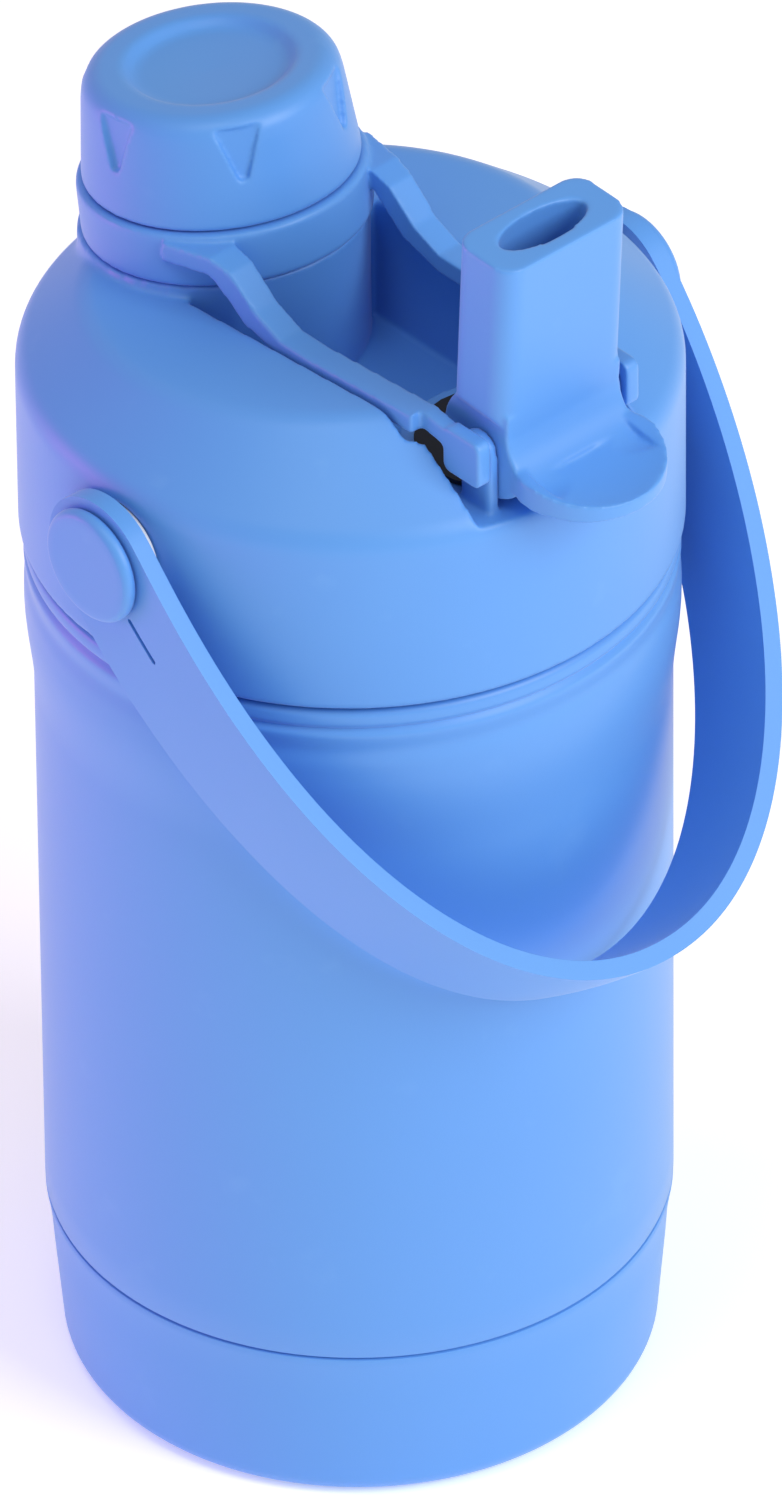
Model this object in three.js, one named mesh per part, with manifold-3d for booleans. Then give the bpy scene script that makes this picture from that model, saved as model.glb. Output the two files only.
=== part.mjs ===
// Half-gallon insulated water jug with a two-way lid: a screw-capped chug spout on a
// swinging carrier, a flip-up straw spout, and a carry loop on side pivots.
// Millimetres, +Z up. Origin at the centre of the base. The straw spout faces -Y.
import * as THREE from "three";
import { mergeVertices } from "three/addons/utils/BufferGeometryUtils.js";
import Module from "manifold-3d";

const wasm = await Module();
wasm.setup();

// ---- driving dimensions -------------------------------------------------------------
const GAP = 0.3; // running gap between pieces that touch
const ROUND = 40; // sides of a large round
const FINE = 24; // sides of a small round
const CAP_SIDES = 32; // sides of the chug cap

const BODY_R = 62; // outside of the steel bottle
const STEEL = 0.8; // wall of the outer shell
const INNER_STEEL = 0.6; // wall of the inner vessel
const VACUUM = 3.2; // space between the two steel walls
const SEAM_Z = 37; // joint between shell and base boot
const BULGE = 1.6; // how far the bead below the lid stands out
const LID_EDGE_Z = 198; // lower edge of the lid
const NECK_R = BODY_R - 7.4; // outside of the bottle neck
const NECK_TOP_Z = LID_EDGE_Z + 15;

const BOOT_FLAT_R = BODY_R - 8; // flat underside of the boot
const BOOT_CORNER = 5; // radius of its lower corner
const BOOT_WALL = 2.2;
const BOOT_FLOOR = 4.6; // height of the seat inside the boot

const LID_R = BODY_R + 2.4;
const LID_WALL = 3;
const SHOULDER_Z = LID_EDGE_Z + 41; // top of the lid's upright wall
const CONE_SLOPE = 0.8; // rise per mm inward of the conical shoulder
const DECK_Z = SHOULDER_Z + 12; // height of the sloping top deck at the centre line
const DECK_FALL = 4.5; // degrees that the deck falls towards the back
const WELL_FLOOR_Z = NECK_TOP_Z + 9; // floor of the finger well
const SILL_Z = SHOULDER_Z - 2; // raised front floor that carries the straw valve

const TOWER_R = 28.3; // upright tower under the chug spout
const TOWER_Y = LID_R - TOWER_R - 0.1;
const SPOUT_TILT = 7.9; // degrees that the chug spout leans back
const SPOUT_Y = TOWER_Y - 1.3; // foot of the spout axis, on top of the tower
const SPOUT_Z = DECK_Z - 0.7;
const SPOUT_R = 18.5;
const SPOUT_LIP_R = SPOUT_R - 1.7;
const SPOUT_BORE_R = SPOUT_R - 4.5;
const SPOUT_RISE = 20; // height of the spout above the tower

const RING_R = TOWER_R + 0.1; // carrier ring round the spout
const RING_FRONT = SPOUT_Y - RING_R; // nearest point of the ring to the straw spout
const RING_BORE_R = SPOUT_R + 5.5;
const RING_H = 11.2;
const CAP_R = RING_R - 1.25; // lower edge of the chug cap
const CAP_TOP_R = CAP_R - 1.95;
const CAP_H = 22.6;
const CAP_DISH_R = CAP_TOP_R - 10.6;
const CAP_DISH_DEPTH = 2;
const CAP_NOTCHES = 6;

const PIVOT_Y = 10.4 - LID_R; // cross axis of the straw spout and of the carrier
const PIVOT_Z = SILL_Z + 13;
const PIN_R = 2;
const EYE_R = 5.2; // half height of the squared carrier eye on its pin
const EAR_R = 4.2; // rounded top of the ear that holds a spout pin
const ARM_H = 4.2; // depth of a carrier arm

const STRAW_SPOUT_W = 32.4; // mouthpiece, along X
const STRAW_SPOUT_T = 15.4; // mouthpiece, along Y
const STRAW_SPOUT_TOP_Z = PIVOT_Z + 45;
const STRAW_LEAN = 3; // degrees that the mouthpiece leans forward
const HUB_R = PIVOT_Z - SILL_Z - 1.6;
const HUB_HALF = STRAW_SPOUT_W / 2 - 1.5; // the mouthpiece steps in between the ears
const EAR_IN = HUB_HALF + GAP; // inner face of that ear
const EAR_OUT = EAR_IN + 2.3;
const ARM_IN = EAR_OUT + GAP; // inner face of a carrier arm
const ARM_OUT = ARM_IN + 5.9; // outer face where the arm lies along the well
const ARM_EYE_OUT = ARM_IN + 3.3; // outer face at the eye
const WELL_HALF = ARM_OUT + 0.6; // half width of the well
const NOTCH_HALF = ARM_EYE_OUT + 0.7; // half width of the opening through the front wall
const TAB_REACH = 28; // from the pivot to the tip of the thumb tab
const TAB_HALF = 16;
const SEAL_Y = PIVOT_Y + 12; // centre of the black valve seal
const SEAL_R = 16.2;

const STRAW_Y = PIVOT_Y + 9;
const STRAW_R = 4.6;
const STRAW_WALL = 0.9;
const STRAW_FOOT_Z = 22;

const HANDLE_Y = -4.5; // carry loop pivots
const HANDLE_Z = LID_EDGE_Z + 25.3;
const HANDLE_HANG = 5.4; // space between the hanging loop and the bottle
const HANDLE_IN = LID_R + 1.3; // inner face of the loop at its eyes
const HANDLE_T = 3.8; // thickness of the band
const HANDLE_REACH = LID_R + 54.6; // from the pivot to the far face of the loop
const HANDLE_SQUARENESS = 2.06; // 2 is a true ellipse
const HANDLE_W = 26; // width of the band at the grip
const HANDLE_EYE_W = 27.6; // width of the band at the eyes
const HANDLE_PIN_R = 4.5;
const WASHER_SEAT = LID_R - 1.4; // flat seat cut into the lid wall behind each washer
const WASHER_R = 11;
const BUTTON_R = 11.8;
const BUTTON_T = 2.8;

// ---- solids -------------------------------------------------------------------------
const rad = THREE.MathUtils.degToRad;
const turn = (angle) => [Math.cos(angle), Math.sin(angle)];

// A closed geometry as a solid that can be joined and cut.
function solid(geometry) {
  const bare = geometry.clone();
  for (const name of Object.keys(bare.attributes)) {
    if (name !== "position") bare.deleteAttribute(name);
  }
  const merged = mergeVertices(bare, 1e-4);
  return new wasm.Manifold(
    new wasm.Mesh({
      numProp: 3,
      vertProperties: merged.attributes.position.array,
      triVerts: new Uint32Array(merged.index.array),
    }),
  );
}

// A solid of revolution about Z. The profile is [radius, height], outside upwards.
function revolve(profile, sides = ROUND) {
  const points = profile.map(([r, z]) => new THREE.Vector2(r, z));
  return solid(new THREE.LatheGeometry(points, sides).rotateX(Math.PI / 2));
}

// A ring or tube about Z.
function ring(inner, outer, low, high, sides = FINE) {
  return revolve([[inner, low], [outer, low], [outer, high], [inner, high], [inner, low]], sides);
}

function disc(radius, low, high, sides = FINE) {
  return revolve([[0, low], [radius, low], [radius, high], [0, high]], sides);
}

function block(x0, x1, y0, y1, z0, z1) {
  const box = new THREE.BoxGeometry(x1 - x0, y1 - y0, z1 - z0);
  return solid(box.translate((x0 + x1) / 2, (y0 + y1) / 2, (z0 + z1) / 2));
}

// A plan outline, drawn in X and Y, raised from low to high.
function raised(outline, low, high) {
  const shape = new THREE.Shape(outline.map(([x, y]) => new THREE.Vector2(x, y)));
  const options = { depth: high - low, bevelEnabled: false };
  return solid(new THREE.ExtrudeGeometry(shape, options).translate(0, 0, low));
}

// A side outline, drawn in Y and Z, run along X from low to high.
function acrossX(outline, low, high) {
  return raised(outline, low, high).rotate([90, 0, 90]);
}

// A round bar along X.
function barX(radius, y, z, low, high, sides = FINE) {
  return disc(radius, low, high, sides).rotate([0, 90, 0]).translate([0, y, z]);
}

function arc(cx, cy, radius, from, to, steps) {
  return Array.from({ length: steps + 1 }, (_, i) => {
    const [c, s] = turn(rad(from + ((to - from) * i) / steps));
    return [cx + radius * c, cy + radius * s];
  });
}

// Places a solid built on Z onto the leaning chug spout axis.
function onSpout(body) {
  return body.rotate([-SPOUT_TILT, 0, 0]).translate([0, SPOUT_Y, SPOUT_Z]);
}

const group = new THREE.Group();

function addNode(parent, name, body, color, roughness = 0.55, metalness = 0) {
  const { vertProperties, triVerts } = body.getMesh();
  const geometry = new THREE.BufferGeometry()
    .setAttribute("position", new THREE.BufferAttribute(vertProperties, 3))
    .setIndex(new THREE.BufferAttribute(triVerts, 1));
  geometry.computeVertexNormals();
  const material = new THREE.MeshStandardMaterial({ color, roughness, metalness });
  const mesh = new THREE.Mesh(geometry, material);
  mesh.name = name;
  parent.add(mesh);
}

const BLUE = 0x6f9fe8;
const DEEP_BLUE = 0x4f86dd;
const STEEL_GREY = 0xb9bcc0;
const BLACK = 0x17181a;
const CLEAR_WHITE = 0xe4ebf2;

// ---- bottle -------------------------------------------------------------------------
const SHELL_LOW_R = BODY_R - BOOT_WALL - 1.4; // shell inside the boot
const SHELL_FOOT_R = BOOT_FLAT_R - 4;
const SHELL_FOOT_Z = BOOT_FLOOR + GAP;
const FOOT_ROUND = SHELL_LOW_R - SHELL_FOOT_R;
const NECK_Z = LID_EDGE_Z - 0.8; // flat step from the bead to the neck
const INNER_R = BODY_R - STEEL - VACUUM;

function outerShell() {
  const wall = [
    [SHELL_FOOT_R, SHELL_FOOT_Z],
    ...arc(SHELL_FOOT_R, SHELL_FOOT_Z + FOOT_ROUND, FOOT_ROUND, -60, 0, 3),
    [SHELL_LOW_R, SEAM_Z + GAP],
    [BODY_R, SEAM_Z + GAP],
    [BODY_R, LID_EDGE_Z - 38],
    [BODY_R + 0.15 * BULGE, LID_EDGE_Z - 34],
    [BODY_R + 0.8 * BULGE, LID_EDGE_Z - 26],
    [BODY_R + BULGE, LID_EDGE_Z - 20],
    [BODY_R + BULGE, LID_EDGE_Z - 14.5],
    [BODY_R + 0.75 * BULGE, LID_EDGE_Z - 12],
    [BODY_R + 0.75 * BULGE, LID_EDGE_Z - 9.5],
    [BODY_R + BULGE, LID_EDGE_Z - 7.5],
    [BODY_R + 0.5 * BULGE, LID_EDGE_Z - 5.5],
    [BODY_R + BULGE, LID_EDGE_Z - 3.5],
    [BODY_R + 0.6 * BULGE, NECK_Z - 2],
    [BODY_R, NECK_Z],
    [NECK_R, NECK_Z],
    [NECK_R, NECK_TOP_Z],
  ];
  const inside = [
    [NECK_R - STEEL, NECK_TOP_Z],
    [NECK_R - STEEL, NECK_Z - STEEL],
    [BODY_R - STEEL, NECK_Z - STEEL - 4],
    [BODY_R - STEEL, SEAM_Z + GAP + STEEL],
    [SHELL_LOW_R - STEEL, SEAM_Z + GAP + STEEL],
    [SHELL_LOW_R - STEEL, SHELL_FOOT_Z + FOOT_ROUND],
    [SHELL_FOOT_R, SHELL_FOOT_Z + STEEL],
    [0, SHELL_FOOT_Z + STEEL],
  ];
  return revolve([[0, SHELL_FOOT_Z], ...wall, ...inside]);
}

const VESSEL_FLOOR_Z = SHELL_FOOT_Z + STEEL + 6;
const VESSEL_LOW_R = SHELL_LOW_R - STEEL - VACUUM;
const MOUTH_R = NECK_R - STEEL - GAP - INNER_STEEL; // the open mouth

function innerVessel() {
  const neck = NECK_R - STEEL - GAP;
  const w = INNER_STEEL;
  return revolve([
    [0, VESSEL_FLOOR_Z],
    [VESSEL_LOW_R - 8, VESSEL_FLOOR_Z],
    ...arc(VESSEL_LOW_R - 8, VESSEL_FLOOR_Z + 8, 8, -60, 0, 3),
    [VESSEL_LOW_R, SEAM_Z],
    [INNER_R, SEAM_Z + 8],
    [INNER_R, NECK_Z - 14],
    [neck, NECK_Z - 6],
    [neck, NECK_TOP_Z + 0.4],
    [neck - w, NECK_TOP_Z + 0.4],
    [neck - w, NECK_Z - 6],
    [INNER_R - w, NECK_Z - 14],
    [INNER_R - w, SEAM_Z + 8],
    [VESSEL_LOW_R - w, SEAM_Z],
    [VESSEL_LOW_R - w, VESSEL_FLOOR_Z + 8],
    [VESSEL_LOW_R - 8, VESSEL_FLOOR_Z + w],
    [0, VESSEL_FLOOR_Z + w],
  ]);
}

function baseBoot() {
  const corner = arc(BOOT_FLAT_R, BOOT_CORNER, BOOT_CORNER, -90, 0, 4);
  return revolve([
    [0, 0],
    ...corner,
    [BODY_R - 1.5, SEAM_Z - 14],
    [BODY_R - 1.15, SEAM_Z - 9],
    [BODY_R, SEAM_Z],
    [SHELL_LOW_R + GAP, SEAM_Z],
    ...arc(SHELL_FOOT_R, SHELL_FOOT_Z + FOOT_ROUND, FOOT_ROUND + GAP, 0, -60, 3),
    [SHELL_FOOT_R, BOOT_FLOOR],
    [PLUG_R + 6, BOOT_FLOOR],
    [PLUG_R + 6, BOOT_FLOOR - 2.4],
    [0, BOOT_FLOOR - 2.4],
  ]);
}

const PLUG_R = 7;

function vacuumPlug() {
  return revolve([
    [0, SHELL_FOOT_Z - GAP - 1.6],
    [PLUG_R - 1, SHELL_FOOT_Z - GAP - 1.6],
    [PLUG_R, SHELL_FOOT_Z - GAP - 0.8],
    [PLUG_R, SHELL_FOOT_Z - GAP],
    [0, SHELL_FOOT_Z - GAP],
  ], FINE);
}

// ---- lid ----------------------------------------------------------------------------
const GASKET_T = 2;
const LINER_Z = NECK_TOP_Z + 0.4 + GAP + GASKET_T + GAP; // underside of the liner's disc
const LINER_T = 2.6;
const LINER_TOP_Z = LINER_Z + LINER_T;
const LINER_R = LID_R - LID_WALL - GAP;
const LINER_WALL = 2.8; // wall of the skirt that screws over the neck
const deckZ = (y) => DECK_Z - Math.tan(rad(DECK_FALL)) * y;
const CONE_IN = LID_R - 34.4; // inner end of the conical shoulder
const FAR = LID_R + 26; // clear of everything, for cutting blocks

// The lid's outside before anything is cut: wall, shoulder, cone and sloping deck.
function lidBlank(inset) {
  const r = LID_R - inset;
  const top = SHOULDER_Z + CONE_SLOPE * (r - CONE_IN) - 1.2 * inset;
  const blank = revolve([
    [0, LID_EDGE_Z],
    [r - 0.6, LID_EDGE_Z],
    [r, LID_EDGE_Z + 0.8],
    [r, SHOULDER_Z - 5],
    ...arc(r - 7, SHOULDER_Z - 5, 7, 15, 45, 3),
    [CONE_IN, top],
    [0, top],
  ]);
  const above = block(-FAR, FAR, -FAR, FAR, 0, 60).rotate([-DECK_FALL, 0, 0]);
  return blank.subtract(above.translate([0, 0, DECK_Z - inset]));
}

// The finger well with its raised front sill, widened all round by grow.
function wellCut(grow) {
  const half = WELL_HALF + grow;
  const notch = NOTCH_HALF + grow;
  const step = PIVOT_Y + 9;
  const high = DECK_Z + 40;
  const deep = block(-half, half, -FAR, TOWER_Y, WELL_FLOOR_Z - grow, high);
  const sillPlan = [
    [-half - 1, -FAR - 1],
    [half + 1, -FAR - 1],
    ...arc(0, SEAL_Y, SEAL_R + 3.4 - grow, 0, 180, 18),
  ];
  const sill = raised(sillPlan, WELL_FLOOR_Z - grow - 1, SILL_Z - grow);
  const wide = [[-notch, -FAR], [notch, -FAR], [notch, step], [half, step + 3]];
  const plan = [...wide, [half, TOWER_Y], [-half, TOWER_Y], [-half, step + 3], [-notch, step]];
  return deep.subtract(sill).intersect(raised(plan, 0, high)).add(
    block(-notch, notch, -FAR, 4.4 - LID_R, SILL_Z - grow, high),
  );
}

function tower(grow, low) {
  const body = disc(TOWER_R + grow, low, SPOUT_Z + 20, ROUND).translate([0, TOWER_Y, 0]);
  const above = block(-FAR, FAR, -FAR, FAR, -GAP, 60);
  return body.subtract(onSpout(above));
}

function lidShell() {
  const liningTop = LINER_TOP_Z + GAP;
  const wall = LID_WALL;
  const solidLid = lidBlank(0).add(tower(0, LINER_TOP_Z + 1)).subtract(
    wellCut(0).subtract(tower(0, 0)),
  );
  const hollow = lidBlank(wall)
    .subtract(wellCut(2.4))
    .subtract(onSpout(disc(SPOUT_R + 2.6, -60, 60)))
    .subtract(disc(11, 0, 300).translate([0, STRAW_Y, 0]))
    .subtract(block(-LID_R, -LID_R + 16, HANDLE_Y - 9, HANDLE_Y + 9, LINER_TOP_Z, SHOULDER_Z))
    .subtract(block(LID_R - 16, LID_R, HANDLE_Y - 9, HANDLE_Y + 9, LINER_TOP_Z, SHOULDER_Z));
  const skirt = disc(LINER_R + GAP, 0, liningTop, ROUND);
  const spoutHole = onSpout(disc(SPOUT_R + GAP, -60, 60));
  const strawHole = disc(NIPPLE_R + GAP, 0, 300).translate([0, STRAW_Y, 0]);
  const pinHoles = barX(PIN_R + GAP, PIVOT_Y, PIVOT_Z, -PIN_OUT, PIN_OUT);
  const washerSeat = barX(WASHER_R + GAP, HANDLE_Y, HANDLE_Z, WASHER_SEAT, LID_R + 5);
  const pivotHoles = barX(HANDLE_PIN_R + GAP, HANDLE_Y, HANDLE_Z, -FAR, FAR).subtract(
    block(-PIVOT_IN, PIVOT_IN, -FAR, FAR, 0, 300),
  );
  const ventHole = disc(1.4, 0, 300, 16).translate(VENT_AT);
  return solidLid
    .subtract(hollow)
    .add(spoutEar())
    .add(spoutEar().mirror([1, 0, 0]))
    .subtract(washerSeat)
    .subtract(washerSeat.mirror([1, 0, 0]))
    .subtract(skirt)
    .subtract(spoutHole)
    .subtract(strawHole)
    .subtract(pinHoles)
    .subtract(pivotHoles)
    .subtract(ventHole);
}

// An upright ear on the sill that holds one end of the straw spout.
function spoutEar() {
  const foot = SILL_Z - 1;
  const outline = [
    [PIVOT_Y - EAR_R, foot],
    [PIVOT_Y + EAR_R, foot],
    ...arc(PIVOT_Y, PIVOT_Z, EAR_R, 0, 180, 10),
  ];
  return acrossX(outline, EAR_IN, EAR_OUT);
}

const VENT_AT = [12, -12, 0];
const NIPPLE_R = 5.6;
const PIN_OUT = ARM_EYE_OUT - 1.1;
const PIVOT_IN = LID_R - 13; // inner end of a handle pivot

function lidLiner() {
  const inner = NECK_R + GAP;
  const skirt = revolve([
    [inner, NECK_Z + 2],
    [inner + LINER_WALL, NECK_Z + 2],
    [inner + LINER_WALL, LINER_Z],
    [LINER_R, LINER_Z],
    [LINER_R, LINER_TOP_Z],
    [0, LINER_TOP_Z],
    [0, LINER_Z],
    [inner, LINER_Z],
    [inner, NECK_Z + 2],
  ]);
  const strawHole = disc(NIPPLE_R + GAP, 0, 300).translate([0, STRAW_Y, 0]);
  const vent = disc(1.4, 0, 300, 16).translate(VENT_AT);
  return skirt.subtract(onSpout(disc(SPOUT_BORE_R, -60, 60))).subtract(strawHole).subtract(vent);
}

function lidGasket() {
  return ring(MOUTH_R - GAP, NECK_R - GAP, LINER_Z - GAP - GASKET_T, LINER_Z - GAP, ROUND);
}

function ventValve() {
  const [x, y] = VENT_AT;
  const stem = disc(1, LINER_Z - 3, LINER_TOP_Z + 1.6, 16);
  const dome = revolve([[0, LINER_Z - 2.6], [4, LINER_Z - 1.4], [4, LINER_Z - 0.4], [0, LINER_Z - 0.4]], 24);
  return stem.add(dome).translate([x, y, 0]);
}

// ---- chug spout, cap and carrier -----------------------------------------------------
function chugSpout() {
  const tube = revolve([
    [SPOUT_BORE_R, -60],
    [SPOUT_R, -60],
    [SPOUT_R, 3],
    [SPOUT_LIP_R, SPOUT_RISE - 1],
    [SPOUT_LIP_R - 0.8, SPOUT_RISE],
    [SPOUT_BORE_R + 0.6, SPOUT_RISE],
    [SPOUT_BORE_R, SPOUT_RISE - 1],
    [SPOUT_BORE_R, -60],
  ], FINE);
  return onSpout(tube).subtract(block(-FAR, FAR, -FAR, FAR, 0, LINER_TOP_Z + GAP));
}

const CAP_Z = RING_H + GAP; // lower edge of the cap, up the spout axis
const CAP_TOP_Z = CAP_Z + CAP_H;
const SKIRT_R = RING_BORE_R - GAP;
const INSERT_R = SKIRT_R - 1.4;
const INSERT_BORE_R = INSERT_R - 1.2;
const INSERT_TOP_Z = SPOUT_RISE + 5;

function chugCap() {
  const round = 4.5;
  const rim = CAP_TOP_R - round;
  const body = revolve([
    [INSERT_R + GAP, 1],
    [SKIRT_R, 1],
    [SKIRT_R, CAP_Z],
    [CAP_R - 0.5, CAP_Z],
    [CAP_R, CAP_Z + 0.8],
    [CAP_TOP_R + 0.2, CAP_TOP_Z - round - 1],
    ...arc(rim, CAP_TOP_Z - round, round, 8, 90, 5),
    [CAP_DISH_R + 2.4, CAP_TOP_Z],
    [CAP_DISH_R, CAP_TOP_Z - CAP_DISH_DEPTH],
    [0, CAP_TOP_Z - CAP_DISH_DEPTH - 0.5],
    [0, INSERT_TOP_Z + GAP],
    [INSERT_R + GAP, INSERT_TOP_Z + GAP],
    [INSERT_R + GAP, 1],
  ], CAP_SIDES);
  return onSpout(gripNotches().reduce((cap, notch) => cap.subtract(notch), body));
}

// V-shaped grip marks: a flat-topped wedge pressed into the side, point downwards.
function gripNotches() {
  const wedge = [[-4.6, CAP_TOP_Z - 2], [0, CAP_Z + 10], [4.6, CAP_TOP_Z - 2]];
  return Array.from({ length: CAP_NOTCHES }, (_, i) =>
    acrossX(wedge, CAP_R - 2.5, CAP_R + 4).rotate([0, 0, (360 / CAP_NOTCHES) * i]),
  );
}

function capInsert() {
  return onSpout(
    revolve([
      [INSERT_BORE_R, 1.2],
      [INSERT_R, 1.2],
      [INSERT_R, INSERT_TOP_Z],
      [0, INSERT_TOP_Z],
      [0, INSERT_TOP_Z - 1.8],
      [INSERT_BORE_R, INSERT_TOP_Z - 1.8],
      [INSERT_BORE_R, 1.2],
    ], FINE),
  );
}

function capGasket() {
  const low = SPOUT_RISE + GAP;
  return onSpout(disc(SPOUT_LIP_R + 1.2, low, INSERT_TOP_Z - 1.8 - GAP));
}

function capCarrier() {
  const hoop = onSpout(
    revolve([
      [RING_BORE_R, 0],
      [RING_R - 1, 0],
      [RING_R, 1],
      [RING_R, RING_H - 1],
      [RING_R - 1, RING_H],
      [RING_BORE_R, RING_H],
      [RING_BORE_R, 0],
    ], CAP_SIDES),
  );
  const bore = onSpout(disc(RING_BORE_R, -2, RING_H + 2));
  return armPair().subtract(bore).add(hoop);
}

// Both arms in side view: level along the well, then a steep climb to the ring.
function armPair() {
  const lie = (y) => deckZ(y) + 1;
  const path = [
    [PIVOT_Y + 5, lie(PIVOT_Y) - 1.6],
    [PIVOT_Y + 10, lie(PIVOT_Y + 10)],
    [RING_FRONT - 20.3, lie(RING_FRONT - 20.3)],
    [RING_FRONT - 12.3, lie(RING_FRONT - 12.3) + 0.6],
    [RING_FRONT - 5.3, lie(RING_FRONT - 6.3) + 4],
    [RING_FRONT + 1.7, SPOUT_Z + 11.5],
    [RING_FRONT + 6.7, SPOUT_Z + RING_H + 1.6],
    [RING_FRONT + 17.7, SPOUT_Z + RING_H + 0.6],
  ];
  const lower = path.map(([y, z], i) => [y + (i > 3 && i < 6 ? 3.2 : 0), z - ARM_H]);
  const outline = [...path, ...lower.reverse()].reverse();
  const flat = EYE_R - 1.8;
  const eye = [[1, 1], [-1, 1], [-1, -1], [1, -1]].flatMap(([y, z], i) =>
    arc(PIVOT_Y + y * flat, PIVOT_Z + z * flat, 1.8, 90 * i, 90 * i + 90, 3),
  );
  const arm = acrossX(outline, ARM_IN, ARM_OUT).add(acrossX(eye, ARM_IN, ARM_OUT));
  const trim = block(ARM_EYE_OUT, FAR, -FAR, PIVOT_Y + 11, 0, 300);
  const pinHole = barX(PIN_R + GAP, PIVOT_Y, PIVOT_Z, 0, PIN_OUT + GAP);
  const right = arm.subtract(trim).subtract(pinHole);
  return right.add(right.mirror([1, 0, 0]));
}

// ---- straw spout ---------------------------------------------------------------------
function strawSpout() {
  const half = STRAW_SPOUT_W / 2;
  const deep = STRAW_SPOUT_T / 2;
  const top = STRAW_SPOUT_TOP_Z - PIVOT_Z;
  const corner = 4.5;
  const plan = [
    ...arc(half - corner, deep - corner, corner, 0, 90, 6),
    ...arc(corner - half, deep - corner, corner, 90, 180, 6),
    ...arc(corner - half, corner - deep, corner, 180, 270, 6),
    ...arc(half - corner, corner - deep, corner, 270, 360, 6),
  ];
  const neck = HUB_HALF - 0.2;
  const shoulders = [[-neck, 0], [neck, 0], [neck, 6.6], [half, 8.2], [half, top], [-half, top], [-half, 8.2], [-neck, 6.6]];
  const waist = acrossX(shoulders, -30, 30).rotate([0, 0, 90]);
  const mouth = raised(plan, 0, top).translate([0, 1.6, 0]).intersect(waist);
  const front = 1.6 - deep;
  const fillet = barX(9, front - 9, 5.5, -neck + 1.8, neck - 1.8);
  const brow = block(1.8 - neck, neck - 1.8, -FAR, front, 5.5, 20);
  const hub = barX(HUB_R, 0, 0, -HUB_HALF, HUB_HALF).subtract(fillet).subtract(brow);
  const tab = thumbTab().subtract(fillet);
  const hole = raised(ovalPlan(10.6, 4.4), 20, top + 1);
  const bore = disc(3.2, -HUB_R - 2, 24, 16).rotate([7, 0, 0]).translate([0, 4.2, 0]);
  const pin = barX(PIN_R + GAP, 0, 0, PIN_IN - GAP, 40);
  return mouth
    .add(hub)
    .add(tab)
    .subtract(hole.translate([0, 1.6, 0]))
    .subtract(bore)
    .subtract(pin)
    .subtract(pin.mirror([1, 0, 0]))
    .rotate([STRAW_LEAN, 0, 0])
    .translate([0, PIVOT_Y, PIVOT_Z]);
}

function ovalPlan(halfX, halfY) {
  return arc(0, 0, 1, 0, 345, 23).map(([x, y]) => [x * halfX, y * halfY]);
}

// A dished thumb tab that reaches forward from the hub.
function thumbTab() {
  const root = HUB_HALF - 0.1;
  const plan = [
    [root, 0],
    [root, -EYE_R - 2],
    ...arc(0, -(TAB_REACH - TAB_HALF), TAB_HALF, 0, -180, 16),
    [-root, -EYE_R - 2],
    [-root, 0],
  ].reverse();
  const plate = raised(plan, -6.5, -1.2);
  const scoop = solid(new THREE.SphereGeometry(46, 48, 32)).translate([0, -18, 42]);
  return plate.subtract(scoop);
}

const PIN_IN = HUB_HALF - 4;

function spoutPin(side) {
  const low = side < 0 ? -PIN_OUT : PIN_IN;
  return barX(PIN_R, PIVOT_Y, PIVOT_Z, low, low + PIN_OUT - PIN_IN, 24);
}

// A flat silicone pad on the sill, with a short nozzle up to the underside of the hub.
function spoutSeal() {
  const low = SILL_Z + GAP;
  const pad = disc(SEAL_R, low, low + 1).translate([0, SEAL_Y, 0]);
  const nozzle = disc(4.6, low, low + 1.8, 16).translate([0, STRAW_Y, 0]);
  const hole = disc(3.2, low - 1, low + 3, 16).translate([0, STRAW_Y, 0]);
  return pad.add(nozzle).subtract(hole);
}

function strawNipple() {
  const bore = STRAW_R - STRAW_WALL - GAP - 1;
  return revolve([
    [bore, LINER_Z - 14],
    [bore + 1, LINER_Z - 14],
    [bore + 1, LINER_Z - 3.6],
    [NIPPLE_R + 1, LINER_Z - 3.6],
    [NIPPLE_R + 1, LINER_Z - GAP],
    [NIPPLE_R, LINER_Z - GAP],
    [NIPPLE_R, SILL_Z - 0.4],
    [bore, SILL_Z - 0.4],
    [bore, LINER_Z - 14],
  ], 32).translate([0, STRAW_Y, 0]);
}

function strawTube() {
  const tube = ring(STRAW_R - STRAW_WALL, STRAW_R, STRAW_FOOT_Z, LINER_Z - 3.6 - GAP, 24);
  return tube.translate([0, STRAW_Y, 0]);
}

// ---- carry loop ----------------------------------------------------------------------
// Outline of the loop in its own plane: u is across, v is away from the pivots.
function loopCurve(halfWidth, reach, steps) {
  const power = 2 / HANDLE_SQUARENESS;
  return Array.from({ length: steps + 1 }, (_, i) => {
    const [c, s] = turn((Math.PI * i) / steps);
    const u = halfWidth * Math.sign(c) * Math.abs(c) ** power;
    return [u, reach * Math.abs(s) ** power];
  });
}

function handleLoop() {
  const outer = HANDLE_IN + HANDLE_T;
  const behind = -HANDLE_EYE_W / 2;
  const plan = [
    [outer, behind],
    ...loopCurve(outer, HANDLE_REACH, 40),
    [-outer, behind],
    [-HANDLE_IN, behind],
    ...loopCurve(HANDLE_IN, HANDLE_REACH - HANDLE_T, 40).reverse(),
    [HANDLE_IN, behind],
  ];
  const wide = HANDLE_EYE_W / 2;
  const slim = HANDLE_W / 2;
  const band = raised(plan, -wide, wide);
  const taper = 0.55 * HANDLE_REACH;
  const side = [
    ...arc(0, 0, wide, 270, 90, 16),
    [14, wide],
    [taper, slim],
    [HANDLE_REACH + 5, slim],
    [HANDLE_REACH + 5, -slim],
    [taper, -slim],
    [14, -wide],
  ].reverse();
  const outline = acrossX(side, -FAR, FAR);
  return band.intersect(outline).subtract(barX(HANDLE_PIN_R + GAP, 0, 0, -FAR, FAR));
}

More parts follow.
